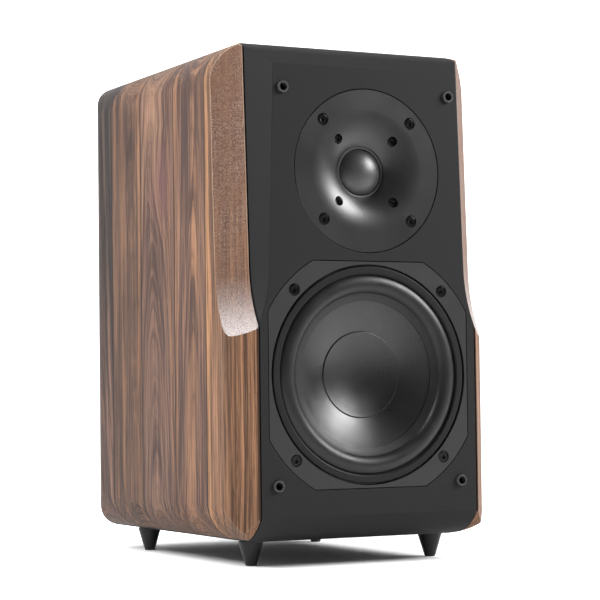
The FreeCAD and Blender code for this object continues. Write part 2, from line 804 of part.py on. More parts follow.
def woofer_motor():
    """Top plate, ferrite ring and the back plate with its vented pole."""
    gap = "former_radius + winding_thickness + coil_clearance"
    plate_end = "basket_end + top_plate_thickness"
    magnet_end = plate_end + " + magnet_thickness"
    pole = "former_radius - 0.4 - coil_clearance"
    ring("woofer_top_plate", gap, "top_plate_radius", "basket_end", plate_end, "woofer_z")
    ring("woofer_magnet", "former_radius + 8", "magnet_radius", plate_end, magnet_end, "woofer_z")
    turned("woofer_yoke", [
        ("6", "basket_end"),
        (pole, "basket_end"),
        (pole, magnet_end),
        ("top_plate_radius", magnet_end),
        ("top_plate_radius", magnet_end + " + back_plate_thickness"),
        ("9", magnet_end + " + back_plate_thickness"),
        ("6", magnet_end + " + back_plate_thickness - 3"),
    ], z="woofer_z")


def socket_screw(name, x, z, seat, head, shank, length):
    """One socket-head screw whose head rests at a depth behind the baffle's face."""
    front = seat + " - screw_head_height"
    owner = turned(name, [
        ("0", front),
        ("%s - screw_head_edge" % head, front),
        (head, front + " + screw_head_edge"),
        (head, seat),
        (shank, seat),
        (shank, "%s + %s" % (seat, length)),
        ("0", "%s + %s + screw_point" % (seat, length)),
    ], z=z, x=x, done=False)
    socket = sketch_on(owner, "XZ_Plane", name + "_socket", "-(%s - 0.1)" % front)
    reach = "hexagon_share * %s" % head
    half = "0.5 * " + reach
    side = "0.866 * " + reach
    outline(socket, [(reach, "0"), (half, side), ("-(%s)" % half, side), ("-(%s)" % reach, "0"),
                     ("-(%s)" % half, "-(%s)" % side), (half, "-(%s)" % side)])
    feature(owner, "Pocket", name + "_socket_cut", socket, "hexagon_depth + 0.1")
    return owner


def four_screws(label, z, offset, *sizes):
    """Four screws at the corners of a square about a driver's axis."""
    screw = socket_screw(label + "_screw", offset, "%s + %s" % (z, offset), *sizes)
    pair = with_mirror(label + "_pair", screw, Vector(1, 0, 0))
    piece(with_mirror(label, pair, Vector(0, 0, 1), z=z), label)


# ---------------------------------------------------------------- tweeter

def tweeter_plate():
    """The round plate with its short bell mouth."""
    owner = turned("tweeter_faceplate", [
        ("horn_radius", "0"),
        ("plate_radius - 0.4", "0"),
        ("plate_radius", "0.4"),
        ("plate_radius", "plate_thickness"),
        ("boss_radius", "plate_thickness"),
        ("boss_radius", "boss_depth"),
        ("surround_radius + 0.4", "boss_depth"),
        ("surround_radius + 0.4", "throat_depth + 0.8"),
        ("throat_radius", "throat_depth + 0.8"),
        ("throat_radius", "throat_depth", "horn_curve"),
    ], z="tweeter_z", done=False)
    for name, offset, seat, head, shank in (
            ("outer", "tweeter_screw_offset", "screw_seat", "screw_counterbore",
             "tweeter_clear_radius"),
            ("inner", "inner_screw_offset", "motor_screw_seat", "motor_counterbore",
             "motor_clear_radius")):
        heads = sketch_on(owner, "XZ_Plane", name + "_heads")
        holes = sketch_on(owner, "XZ_Plane", name + "_holes")
        for across in ("-", ""):
            for up in ("-", ""):
                circle(heads, across + offset, up + offset, head)
                circle(holes, across + offset, up + offset, shank)
        feature(owner, "Pocket", name + "_heads_cut", heads, seat)
        feature(owner, "Pocket", name + "_holes_cut", holes, "boss_depth + 1")
    piece(owner, "tweeter_faceplate")


def tweeter_diaphragm():
    """The soft dome, its half-roll surround and its voice coil."""
    sphere = "(dome_radius^2 + dome_height^2) / (2 * dome_height)"
    turned("tweeter_dome", [
        ("0", "boss_depth - dome_height", sphere),
        ("dome_radius", "boss_depth"),
        ("dome_radius", "boss_depth + dome_thickness + 0.4"),
        ("dome_radius - 0.4", "boss_depth + dome_thickness + 0.4"),
        ("dome_radius - 0.4", "boss_depth + dome_thickness",
         "-(%s)" % sphere),
        ("0", "boss_depth - dome_height + dome_thickness"),
    ], z="tweeter_z")
    middle = "(dome_radius + surround_radius) / 2"
    turned("tweeter_surround", [
        ("dome_radius + 0.05", "boss_depth", "-1.9"),
        (middle, "boss_depth - surround_lift", "-1.9"),
        ("surround_radius", "boss_depth"),
        ("surround_radius + 3", "boss_depth"),
        ("surround_radius + 3", "boss_depth + 0.4"),
        ("surround_radius - 0.3", "boss_depth + 0.4", "1.7"),
        (middle, "boss_depth - surround_lift + 0.4", "1.7"),
        ("dome_radius + 0.35", "boss_depth + 0.4"),
        ("dome_radius + 0.05", "boss_depth + 0.4"),
    ], z="tweeter_z")
    ring("tweeter_voice_coil", "tweeter_coil_radius - 0.3", "tweeter_coil_radius + 0.5",
         "boss_depth + dome_thickness + 0.4", "boss_depth + 6", "tweeter_z")


def tweeter_motor():
    """Top plate, ring magnet, yoke and the sealed chamber behind them."""
    start = "boss_depth + 0.4"
    plate_end = start + " + tweeter_gap_plate"
    magnet_end = plate_end + " + tweeter_magnet"
    yoke_end = magnet_end + " + tweeter_back_plate"
    owner = turned("tweeter_top_plate", [
        ("tweeter_coil_radius + 0.9", start + " + 0.6"),
        ("surround_radius + 0.4", start + " + 0.6"),
        ("surround_radius + 0.4", start),
        ("tweeter_motor_radius", start),
        ("tweeter_motor_radius", plate_end),
        ("tweeter_coil_radius + 0.9", plate_end),
    ], z="tweeter_z", done=False)
    holes = sketch_on(owner, "XZ_Plane", "top_plate_holes")
    for across in ("-", ""):
        for up in ("-", ""):
            circle(holes, across + "inner_screw_offset", up + "inner_screw_offset",
                   "motor_pilot_radius")
    feature(owner, "Pocket", "top_plate_holes_cut", holes, plate_end + " + 1")
    piece(owner, "tweeter_top_plate")
    ring("tweeter_magnet", "tweeter_coil_radius + 6", "tweeter_motor_radius - 1",
         plate_end, magnet_end, "tweeter_z")
    turned("tweeter_yoke", [
        ("5", start + " + 1"),
        ("tweeter_coil_radius - 0.7", start + " + 1"),
        ("tweeter_coil_radius - 0.7", magnet_end),
        ("tweeter_motor_radius - 3", magnet_end),
        ("tweeter_motor_radius - 3", yoke_end),
        ("5", yoke_end),
    ], z="tweeter_z")
    rear = yoke_end + " + tweeter_chamber"
    turned("tweeter_rear_chamber", [
        ("0", rear),
        ("0", rear + " + 2"),
        ("tweeter_motor_radius - 6", rear + " + 2"),
        ("tweeter_motor_radius - 4", rear),
        ("tweeter_motor_radius - 4", yoke_end),
        ("tweeter_motor_radius - 7", yoke_end),
        ("tweeter_motor_radius - 7", rear),
    ], z="tweeter_z")


# ---------------------------------------------------------------- fittings

def socket_pair(name, x, z):
    """Two grille sockets at one height."""
    tube = turned(name + "_tube", [
        ("0", "socket_length - socket_floor"),
        ("0", "socket_length"),
        ("socket_radius", "socket_length"),
        ("socket_radius", "socket_edge"),
        ("socket_radius - socket_edge", "0"),
        ("socket_bore + 0.3", "0"),
        ("socket_bore", "0.3"),
        ("socket_bore", "socket_length - socket_floor"),
    ], y="front_y - socket_proud", z=z, x=x, done=False)
    return with_mirror(name, tube, Vector(1, 0, 0))


def grille_sockets():
    """Four sockets that take the pegs of a grille."""
    upper = socket_pair("upper_sockets", "upper_socket_x", "upper_socket_z")
    lower = socket_pair("lower_sockets", "lower_socket_x", "lower_socket_z")
    piece(group("grille_sockets", [upper, lower]), "grille_sockets")


def four_corners(label, source):
    """A part under each corner of the cabinet, from the one at the front right."""
    pair = with_mirror(label + "_pair", source, Vector(1, 0, 0))
    return with_mirror(label, pair, Vector(0, 1, 0), y="front_y + (foot_front + foot_rear) / 2")


def upright(label, corners):
    """A part turned about a vertical axis at the front right foot."""
    owner = body(label, x="foot_x", y="front_y + foot_front")
    drawing = outline(sketch_on(owner, "XZ_Plane", label + "_profile"), corners)
    spun(owner, drawing, label + "_turn")
    return owner


def foot_stud_tools(label, radius, bottom, length):
    """Four upright cylinders where the foot studs enter the cabinet."""
    top = "(%s) + (%s)" % (bottom, length)
    rod = upright(label + "_rod", [("0", bottom), (radius, bottom), (radius, top), ("0", top)])
    return four_corners(label, rod)


def feet():
    """Four conical feet, each on a threaded stud."""
    edge = "foot_edge"
    cone = upright("foot_cone", [
        ("0", "0"),
        ("foot_tip_radius - %s" % edge, "0", edge),
        ("foot_tip_radius + 0.1", edge),
        ("foot_top_radius", "floor_gap - 1"),
        ("foot_top_radius", "floor_gap"),
        ("stud_radius", "floor_gap"),
        ("stud_radius", "floor_gap - 9"),
        ("0", "floor_gap - 9"),
    ])
    piece(four_corners("feet", cone), "feet")
    studs = foot_stud_tools("foot_studs", "stud_radius", "floor_gap - 9", "stud_length + 8")
    piece(studs, "foot_studs")


def reflex_port():
    """The rear port: a tube with a rounded mouth and a seated flange."""
    outer = "port_radius + port_wall"
    end = "depth"
    turned("reflex_port", [
        ("port_radius", "depth - port_length"),
        (outer, "depth - port_length"),
        (outer, end + " - port_flange"),
        (outer + " + port_flare - 0.3", end + " - port_flange"),
        (outer + " + port_flare - 0.3", end + " - 0.5"),
        (outer + " + port_flare - 0.8", end),
        ("port_radius + port_mouth", end, "port_mouth"),
        ("port_radius", end + " - port_mouth"),
    ], z="port_z")


def terminal_cup():
    """The recessed plate that carries the binding posts."""
    owner = body("terminal_cup", y="front_y + depth", z="terminal_z")
    flange = sketch_on(owner, "XZ_Plane", "cup_flange")
    lip = "cup_lip - cup_fit"
    rectangle(flange, "-(cup_half_width + %s)" % lip, "-(cup_half_height + %s)" % lip,
              "cup_half_width + %s" % lip, "cup_half_height + %s" % lip)
    feature(owner, "Pad", "cup_plate", flange, "port_flange")
    well = sketch_on(owner, "XZ_Plane", "cup_well", "port_flange")
    rectangle(well, "-(cup_half_width - cup_fit)", "-(cup_half_height - cup_fit)",
              "cup_half_width - cup_fit", "cup_half_height - cup_fit")
    feature(owner, "Pad", "cup_block", well, "cup_depth + cup_wall - port_flange")
    hollow = sketch_on(owner, "XZ_Plane", "cup_hollow")
    rectangle(hollow, "-(cup_half_width - cup_wall)", "-(cup_half_height - cup_wall)",
              "cup_half_width - cup_wall", "cup_half_height - cup_wall")
    feature(owner, "Pocket", "cup_hollow_cut", hollow, "cup_depth", reverse=True)
    posts = sketch_on(owner, "XZ_Plane", "post_holes")
    for across in ("-", ""):
        circle(posts, across + "post_spacing / 2", "0", "post_radius")
    feature(owner, "Pocket", "post_holes_cut", posts, "cup_depth + cup_wall + 1", reverse=True)
    screws = sketch_on(owner, "XZ_Plane", "cup_screws")
    for across in ("-", ""):
        for up in ("-", ""):
            circle(screws, across + "cup_screw_x", up + "cup_screw_z", "cup_clear_radius")
    feature(owner, "Pocket", "cup_screws_cut", screws, "port_flange + 1", reverse=True)
    piece(owner, "terminal_cup")


def terminal_screws():
    """Four pan-head screws that hold the terminal cup."""
    start = "front_y + depth"
    crown = "(cup_head_radius^2 + cup_head_height^2) / (2 * cup_head_height)"
    owner = turned("terminal_screw", [
        ("0", "-cup_screw_length"),
        ("cup_shank_radius", "-cup_screw_length + 3"),
        ("cup_shank_radius", "0"),
        ("cup_head_radius", "0", crown),
        ("0", "cup_head_height"),
    ], y=start, z="terminal_z + cup_screw_z", x="cup_screw_x", done=False)
    pair = with_mirror("terminal_screw_pair", owner, Vector(1, 0, 0))
    piece(with_mirror("terminal_screws", pair, Vector(0, 0, 1), z="terminal_z"),
          "terminal_screws")


def binding_posts():
    """Two posts for bare wire, spades or 4 mm plugs, with captive washers and screw caps."""
    floor = "depth - cup_depth"
    studs = []
    for colour, side in (("black", "-"), ("red", "")):
        x = side + "post_spacing / 2"
        tip = floor + " + post_reach"
        stud = turned(colour + "_post_stud", [
            ("0", floor + " - post_tail"),
            ("post_radius", floor + " - post_tail"),
            ("post_radius", floor),
            ("post_cap_radius", floor),
            ("post_cap_radius", floor + " + post_collar"),
            ("post_radius", floor + " + post_collar"),
            ("post_radius", tip),
            ("post_bore", tip),
            ("post_bore", tip + " - bore_length"),
            ("0", tip + " - bore_length"),
        ], z="terminal_z", x=x, done=False)
        studs.append(stud)
        inner = "post_radius + post_clearance"
        washer = floor + " + post_collar + washer_rest"
        turned(colour + "_post_washer", [
            (inner, washer),
            ("post_cap_radius - 0.5", washer),
            ("post_cap_radius - 0.5", washer + " + washer_thickness"),
            (inner, washer + " + washer_thickness"),
        ], z="terminal_z", x=x)
        binding_cap(colour, x, inner, washer + " + washer_thickness")
    piece(group("post_studs", studs), "post_studs")


def binding_cap(colour, x, inner, start):
    """A fluted screw cap, open at its end for a plug."""
    end = "%s + post_cap_length" % start
    label = colour + "_post_cap"
    owner = turned(label, [
        (inner, start),
        ("post_cap_radius", start),
        ("post_cap_radius", end + " - 1"),
        ("post_cap_radius - 1", end),
        (inner, end),
    ], z="terminal_z", x=x, done=False)
    flute = sketch_on(owner, "XZ_Plane", label + "_flute", "-(%s + 2.5)" % start)
    circle(flute, "post_cap_radius + 0.5", "0", "post_flute")
    cut = feature(owner, "Pocket", label + "_flute_cut", flute, "post_cap_length")
    doc.recompute()
    around(owner, cut, label + "_flutes", 12)
    piece(owner, label)


def crossover():
    """The dividing network on the floor of the cabinet."""
    floor = "floor_gap + board_thickness"
    base = floor + " + crossover_lift"
    top = base + " + crossover_thickness"
    piece(box("crossover_board", "-board_half_width", "board_half_width", "crossover_front",
              "crossover_rear", base, top), "crossover_board")
    spacers = []
    for x in ("-board_half_width + 6", "board_half_width - 6"):
        for y in ("crossover_front + 6", "crossover_rear - 6"):
            spacers.append(post("crossover_spacer_%d" % (len(spacers) + 1), x, y, floor,
                                "4", "crossover_lift"))
    piece(group("crossover_spacers", spacers), "crossover_spacers")
    coils = []
    for number, (x, y) in enumerate([("-28", "crossover_front + 28"),
                                     ("26", "crossover_rear - 28")]):
        outer = post("inductor_%d_winding" % number, x, y, top,
                     "inductor_radius", "inductor_height")
        hole = post("inductor_%d_bore" % number, x, y, top + " - 1",
                    "inductor_bore", "inductor_height + 2")
        coils.append(combine("Cut", "inductor_%d" % number, outer, hole))
    piece(group("crossover_inductors", coils), "crossover_inductors")
    cans = []
    for number, x in enumerate(("12", "36")):
        can = post("capacitor_%d" % number, x, "crossover_front + 8", top + " + capacitor_radius",
                   "capacitor_radius", "capacitor_length")
        can.Placement.Rotation = FreeCAD.Rotation(Vector(1, 0, 0), -90)
        cans.append(can)
    piece(group("crossover_capacitors", cans), "crossover_capacitors")
    resistors = []
    for number, x in enumerate(("-46", "-28", "-10")):
        resistors.append(box("resistor_%d" % number, x, "%s + resistor_width" % x,
                             "crossover_rear - 6 - resistor_length", "crossover_rear - 6",
                             top, top + " + resistor_width"))
    piece(group("crossover_resistors", resistors), "crossover_resistors")


def post(name, x, y, z, radius, height):
    """An upright cylinder, with y measured from the baffle's face."""
    item = doc.addObject("Part::Cylinder", name)
    return bind(item, Radius=radius, Height=height, Placement__Base__x=x,
                Placement__Base__y="front_y + (%s)" % y, Placement__Base__z=z)


def routed(points, radius):
    """A lead swept along straight runs joined by tangent arcs as large as the runs allow."""
    spots = [Vector(*point) for point in points]
    edges = []
    start = spots[0]
    for before, corner, after in zip(spots, spots[1:], spots[2:]):
        arriving = (corner - before).normalize()
        leaving = (after - corner).normalize()
        trim = 0.45 * min((corner - before).Length, (after - corner).Length)
        first = corner - arriving * trim
        last = corner + leaving * trim
        bend = arriving.getAngle(leaving)
        curve = trim / math.tan(bend / 2)
        inward = (leaving - arriving).normalize()
        middle = corner + inward * (curve / math.cos(bend / 2) - curve)
        edges.append(Part.LineSegment(start, first).toShape())
        edges.append(Part.Arc(first, middle, last).toShape())
        start = last
    edges.append(Part.LineSegment(start, spots[-1]).toShape())
    path = Part.Wire(edges)
    section = Part.Wire(Part.Circle(spots[0], spots[1] - spots[0], radius).toShape())
    return path.makePipeShell([section], True, True)


def lead_pair(label, route):
    """Two insulated wires side by side, clipped along a wall of the cabinet."""
    radius = size_of("lead_radius")
    front = size_of("front_y")
    wires = []
    for shift in (0, 2.3 * radius):
        points = [(x + shift, front + y, z) for x, y, z in route]
        wires.append(routed(points, radius))
    item = doc.addObject("Part::Feature", label)
    item.Shape = Part.makeCompound(wires)
    piece(item, label)


def internal_leads():
    """Leads from the dividing network to both drivers and the terminals."""
    board = size_of("floor_gap + board_thickness + crossover_lift + crossover_thickness")
    front = size_of("crossover_front")
    rear = size_of("crossover_rear")
    woofer = size_of("woofer_z")
    lead_pair("woofer_leads", [
        (-4, front + 14, board + 1), (-4, front - 10, board + 22), (-4, front - 52, woofer - 66),
        (-4, 74, woofer - 66), (-4, 58, woofer - 53),
    ])
    tweeter = size_of("tweeter_z")
    edge = size_of("brace_window_x - 6")
    lead_pair("tweeter_leads", [
        (45, front + 50, board + 1), (52, front + 50, board + 28), (edge, front + 46, board + 84),
        (edge + 1, front + 40, tweeter - 126), (edge - 1, front + 34, tweeter - 68),
        (46, front - 4, tweeter - 26), (34, 102, tweeter - 12), (25, 56, tweeter - 24),
    ])
    terminal = size_of("terminal_z")
    floor = size_of("depth - cup_depth - cup_wall")
    lead_pair("input_leads", [
        (0, rear - 52, board + 1), (0, rear - 34, board + 22), (0, rear - 12, terminal - 14),
        (0, floor - 13, terminal),
    ])


# ---------------------------------------------------------------- assembly

def build():
    """Make every sub-part."""
    envelope = cabinet_envelope()
    side_staves(envelope)
    front_baffle(envelope)
    closing_boards(envelope)
    window_brace()
    wool_pads()
    woofer_basket()
    woofer_seal()
    woofer_soft_parts()
    woofer_moving_parts()
    woofer_motor()
    four_screws("woofer_screws", "woofer_z", "woofer_screw_offset",
                "screw_seat", "screw_head_radius", "woofer_shank_radius", "woofer_screw_length")
    tweeter_plate()
    tweeter_diaphragm()
    tweeter_motor()
    four_screws("tweeter_screws", "tweeter_z", "tweeter_screw_offset",
                "screw_seat", "screw_head_radius", "tweeter_shank_radius", "tweeter_screw_length")
    four_screws("tweeter_motor_screws", "tweeter_z", "inner_screw_offset",
                "motor_screw_seat", "motor_head_radius", "motor_shank_radius",
                "motor_screw_length")
    grille_sockets()
    feet()
    reflex_port()
    terminal_cup()
    terminal_screws()
    binding_posts()
    crossover()
    internal_leads()


def check_and_write():
    """Stop on any failed object, then write one STEP file for each sub-part."""
    doc.recompute()
    for item in doc.Objects:
        if "Invalid" in item.State or "Error" in item.State:
            raise RuntimeError("%s failed: %s" % (item.Name, item.State))
    os.makedirs("parts", exist_ok=True)
    for item in pieces:
        shape = item.Shape
        if shape.isNull() or not shape.isValid() or not shape.Solids:
            raise RuntimeError("%s has no valid solid" % item.Label)
        shape.exportStep(os.path.join("parts", item.Label + ".step"))
        print("%-24s %d solids %10.0f mm3" % (item.Label, len(shape.Solids), shape.Volume))
    print(len(pieces), "sub-parts")


build()
check_and_write()
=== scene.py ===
"""Looks of the two-way loudspeaker: materials, detailed driver pieces, light and camera.

Everything is in metres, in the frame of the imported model: the front faces -Y and Z is up.
"""
import json
import math
import random

import bmesh
import bpy
from mathutils import Matrix, Vector


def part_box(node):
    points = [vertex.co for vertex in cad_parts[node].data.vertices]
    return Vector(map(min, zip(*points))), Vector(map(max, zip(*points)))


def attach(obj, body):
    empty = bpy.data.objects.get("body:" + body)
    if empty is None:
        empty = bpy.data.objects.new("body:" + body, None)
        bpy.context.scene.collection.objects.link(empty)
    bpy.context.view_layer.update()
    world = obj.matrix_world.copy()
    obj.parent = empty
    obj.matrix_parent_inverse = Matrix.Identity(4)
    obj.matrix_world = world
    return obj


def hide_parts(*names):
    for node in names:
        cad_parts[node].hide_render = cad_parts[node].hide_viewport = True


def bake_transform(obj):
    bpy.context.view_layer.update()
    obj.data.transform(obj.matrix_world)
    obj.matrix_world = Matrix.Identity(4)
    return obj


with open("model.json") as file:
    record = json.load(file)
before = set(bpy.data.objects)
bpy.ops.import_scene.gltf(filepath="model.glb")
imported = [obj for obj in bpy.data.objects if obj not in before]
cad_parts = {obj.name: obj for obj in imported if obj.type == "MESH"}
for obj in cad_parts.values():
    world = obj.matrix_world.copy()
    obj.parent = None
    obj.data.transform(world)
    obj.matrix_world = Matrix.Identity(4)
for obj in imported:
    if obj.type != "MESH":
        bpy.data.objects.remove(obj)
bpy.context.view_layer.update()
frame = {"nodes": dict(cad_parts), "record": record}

MM = 0.001
random.seed(7)
nodes = frame["nodes"]
slot_of = {part["node"]: part["material_slot"] for part in frame["record"]["subparts"]}

# Places, read from the frame
frame_low, frame_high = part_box("woofer_basket")
plate_low, plate_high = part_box("tweeter_faceplate")
FACE = plate_low.y
WOOFER = Vector((0.0, FACE, (frame_low.z + frame_high.z) / 2))
TWEETER = Vector((0.0, FACE, (plate_low.z + plate_high.z) / 2))
MIDDLE_Z = 0.22  # near the middle of the height: the lights aim here, the grain leans about it


# ---------------------------------------------------------------- node graphs

class Graph:
    """A short way to write a material's nodes."""

    def __init__(self, name):
        self.material = bpy.data.materials.new(name)
        self.material.use_nodes = True
        self.tree = self.material.node_tree
        self.shader = self.tree.nodes["Principled BSDF"]
        self.place = self.tree.nodes.new("ShaderNodeTexCoord").outputs["Object"]

    def add(self, kind, **inputs):
        """A node with its sockets set or linked; names with a leading _ are attributes."""
        node = self.tree.nodes.new("ShaderNode" + kind)
        for key, value in inputs.items():
            if key.startswith("_"):
                setattr(node, key[1:], value)
                continue
            socket = node.inputs[int(key[1:]) if key[0] == "i" and key[1:].isdigit() else
                                 key.replace("_", " ")]
            self.put(socket, value)
        return node

    def put(self, socket, value):
        """Link a socket, or set its constant."""
        if isinstance(value, bpy.types.NodeSocket):
            self.tree.links.new(value, socket)
        elif isinstance(value, (tuple, list)) and len(value) == 3 and len(socket.default_value) == 4:
            socket.default_value = (*value, 1.0)
        else:
            socket.default_value = value

    def math(self, operation, a, b=0.0, clamp=False):
        return self.add("Math", _operation=operation, _use_clamp=clamp, i0=a, i1=b).outputs[0]

    def split(self, vector):
        """The three parts of a vector."""
        return self.add("SeparateXYZ", Vector=vector).outputs

    def bulge(self, centre, reach, height):
        """A soft round hill about a point, in the plane of the side."""
        away = self.add("VectorMath", _operation="SUBTRACT", i0=self.place, i1=centre).outputs[0]
        flat = self.add("VectorMath", _operation="MULTIPLY", i0=away, i1=(0.0, 1.0, 0.55)).outputs[0]
        distance = self.add("VectorMath", _operation="LENGTH", i0=flat).outputs["Value"]
        share = self.math("DIVIDE", distance, reach)
        return self.math("MULTIPLY", self.ramp(share, (0.0, 1.0), (0.45, 0.55), (1.0, 0.0)), height)

    def scaled(self, scale, source=None, turn=(0, 0, 0), shift=(0, 0, 0)):
        """The place, turned and then stretched."""
        node = self.add("Mapping", Vector=source or self.place, Location=shift,
                        Rotation=turn, Scale=scale)
        return node.outputs[0]

    def noise(self, scale, size=1.0, detail=4.0, rough=0.5, source=None, **kw):
        """Fractal noise over the stretched place, from 0 to 1."""
        node = self.add("TexNoise", Vector=self.scaled(scale, source, **kw), Scale=size,
                        Detail=detail, Roughness=rough)
        return node.outputs[0]

    def ramp(self, value, *stops):
        """Colours or greys along a value."""
        node = self.add("ValToRGB", Fac=value)
        points = node.color_ramp.elements
        while len(points) < len(stops):
            points.new(0.5)
        for point, (at, colour) in zip(points, stops):
            point.position = at
            point.color = (*colour, 1.0) if isinstance(colour, tuple) else (colour,) * 3 + (1.0,)
        return node.outputs[0]

    def mix(self, share, a, b, blend="MIX"):
        """Mix two colours."""
        node = self.tree.nodes.new("ShaderNodeMix")
        node.data_type = "RGBA"
        node.blend_type = blend
        for index, value in ((0, share), (6, a), (7, b)):
            self.put(node.inputs[index], value)
        return node.outputs[2]

    def bump(self, height, depth, strength=1.0, under=None):
        """A bump of a height field, depth in metres for a full step."""
        node = self.add("Bump", Height=height, Distance=depth, Strength=strength)
        if under is not None:
            self.tree.links.new(under, node.inputs["Normal"])
        return node.outputs[0]

    def eased(self, radius):
        """A normal that rounds the hard edges a little, as sanding does."""
        return self.add("Bevel", _samples=6, Radius=radius).outputs[0]

    def finish(self, **inputs):
        for key, value in inputs.items():
            self.put(self.shader.inputs[key.replace("_", " ")], value)
        return self.material


def srgb(red, green, blue):
    """A colour given as it looks on a screen, from 0 to 255."""
    def linear(value):
        value /= 255.0
        return value / 12.92 if value <= 0.04045 else ((value + 0.055) / 1.055) ** 2.4
    return (linear(red), linear(green), linear(blue))


def dimmed(shade, share):
    return tuple(min(share * part, 1.0) for part in shade)


# ---------------------------------------------------------------- materials

SEAM = 0.0014


def streak(g, tone, place, start, slope, width, shade, share):
    """A soft band of another shade, which leans along the stave."""
    _, y, z = g.split(place)
    middle = g.math("ADD", start, g.math("MULTIPLY", g.math("SUBTRACT", z, MIDDLE_Z), slope))
    away = g.math("DIVIDE", g.math("ABSOLUTE", g.math("SUBTRACT", y, middle)), width)
    return g.mix(g.ramp(away, (0.35, share), (1.0, 0.0)), tone, shade)


def walnut(name, node, pith, lean, spacing, shades, stripes, seed, knot=None, bands=(),
           scoop=False, foot=None):
    """Oiled walnut, cut from growth rings about a pith line that leans along the stave.

    The distance out uses -|x|, so the right side mirrors the left. foot is a factor on the
    tone near the floor.
    """
    low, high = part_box(node)
    g = Graph(name)
    wander = g.add("TexNoise", Vector=g.scaled((9, 9, 2.6), shift=(seed, seed, seed)),
                   Scale=1.0, Detail=3.0, Roughness=0.45).outputs["Color"]
    centred = g.add("VectorMath", _operation="SUBTRACT", i0=wander, i1=(0.5, 0.5, 0.5)).outputs[0]
    drift = g.add("VectorMath", _operation="SCALE", i0=centred, Scale=0.016).outputs[0]
    place = g.add("VectorMath", _operation="ADD", i0=g.place, i1=drift).outputs[0]
    x, y, z = g.split(place)
    leftward = g.math("MULTIPLY", g.math("ABSOLUTE", x), -1.0)
    across = g.math("SUBTRACT", leftward, g.math("ADD", pith[0], g.math("MULTIPLY", z, lean[0])))
    along = g.math("SUBTRACT", y, g.math("ADD", pith[1], g.math("MULTIPLY", z, lean[1])))
    radius = g.math("SQRT", g.math("ADD", g.math("MULTIPLY", across, across),
                                   g.math("MULTIPLY", along, along)))
    if knot is not None:
        radius = g.math("ADD", radius, g.bulge(knot, 0.030, 0.008))
    # the grain's own coordinate: radius out from the pith, and slowly up the tree
    slow = g.math("MULTIPLY", z, 0.014)
    grain = g.add("CombineXYZ", X=radius, Y=slow, Z=seed).outputs[0]
    broad = g.add("TexNoise", Vector=grain, Scale=100.0, Detail=3.0, Roughness=0.6).outputs[0]
    fine = g.add("TexNoise", Vector=grain, Scale=430.0, Detail=4.0, Roughness=0.7).outputs[0]
    year = g.math("FRACT", g.math("ADD", g.math("DIVIDE", radius, spacing),
                                  g.math("MULTIPLY", broad, 2.6)))
    late = g.ramp(year, (0.0, 0.9), (0.14, 0.10), (0.55, 0.0), (0.90, 0.8), (1.0, 1.0))
    tone = g.ramp(broad, (0.28, shades[0]), (0.44, shades[1]), (0.56, shades[2]), (0.72, shades[3]))
    for start, slope, width, shade, share in bands:
        tone = streak(g, tone, place, start, slope, width, shade, share)
    tone = g.mix(g.math("MULTIPLY", late, stripes), tone, dimmed(shades[0], 0.8))
    tone = g.mix(g.ramp(fine, (0.40, 0.85), (0.50, 0.0)), tone, dimmed(shades[0], 0.62))
    tone = g.mix(g.ramp(fine, (0.52, 0.0), (0.66, 0.50)), tone, dimmed(shades[3], 1.3))
    fibre = g.noise((620, 620, 5), 1.0, 4.0, 0.66, shift=(seed, 0, 0))
    tone = g.mix(g.ramp(fibre, (0.36, 0.80), (0.50, 0.0)), tone, dimmed(shades[0], 0.60))
    tone = g.mix(g.ramp(fibre, (0.53, 0.0), (0.72, 0.50)), tone, dimmed(shades[3], 1.35))
    pores = g.noise((1500, 1500, 60), 1.0, 1.5, 0.5, shift=(0, seed, 0))
    pore = g.ramp(pores, (0.31, 1.0), (0.38, 0.0))
    tone = g.mix(g.math("MULTIPLY", pore, 0.6), tone, dimmed(shades[0], 0.35))
    if knot is not None:
        tone = g.mix(g.bulge(knot, 0.026, 0.55), tone, srgb(84, 54, 56))
    normal = g.eased(0.0009)
    gloss = 0.0
    if scoop:
        tone, gloss = scooped_face(g, tone, normal, late)
    if foot is not None:
        tone = g.mix(g.ramp(z, (0.12, 1.0), (0.27, 0.0)), tone, foot, "MULTIPLY")
    depth = g.split(g.place)[1]
    edge = g.math("MINIMUM", g.math("ABSOLUTE", g.math("SUBTRACT", depth, low.y)),
                  g.math("ABSOLUTE", g.math("SUBTRACT", depth, high.y)))
    seam = g.ramp(g.math("DIVIDE", edge, SEAM), (0.35, 0.9), (1.0, 0.0))
    tone = g.mix(seam, tone, dimmed(shades[0], 0.3))
    relief = g.math("SUBTRACT", g.math("MULTIPLY", fibre, 0.25), g.math("MULTIPLY", pore, 0.7))
    rough = g.ramp(broad, (0.3, 0.48), (0.7, 0.58))
    return g.finish(Base_Color=tone, Roughness=rough, Specular_IOR_Level=0.08,
                    Normal=g.bump(relief, 0.00010, 0.5, normal),
                    Coat_Weight=gloss, Coat_Roughness=0.30)


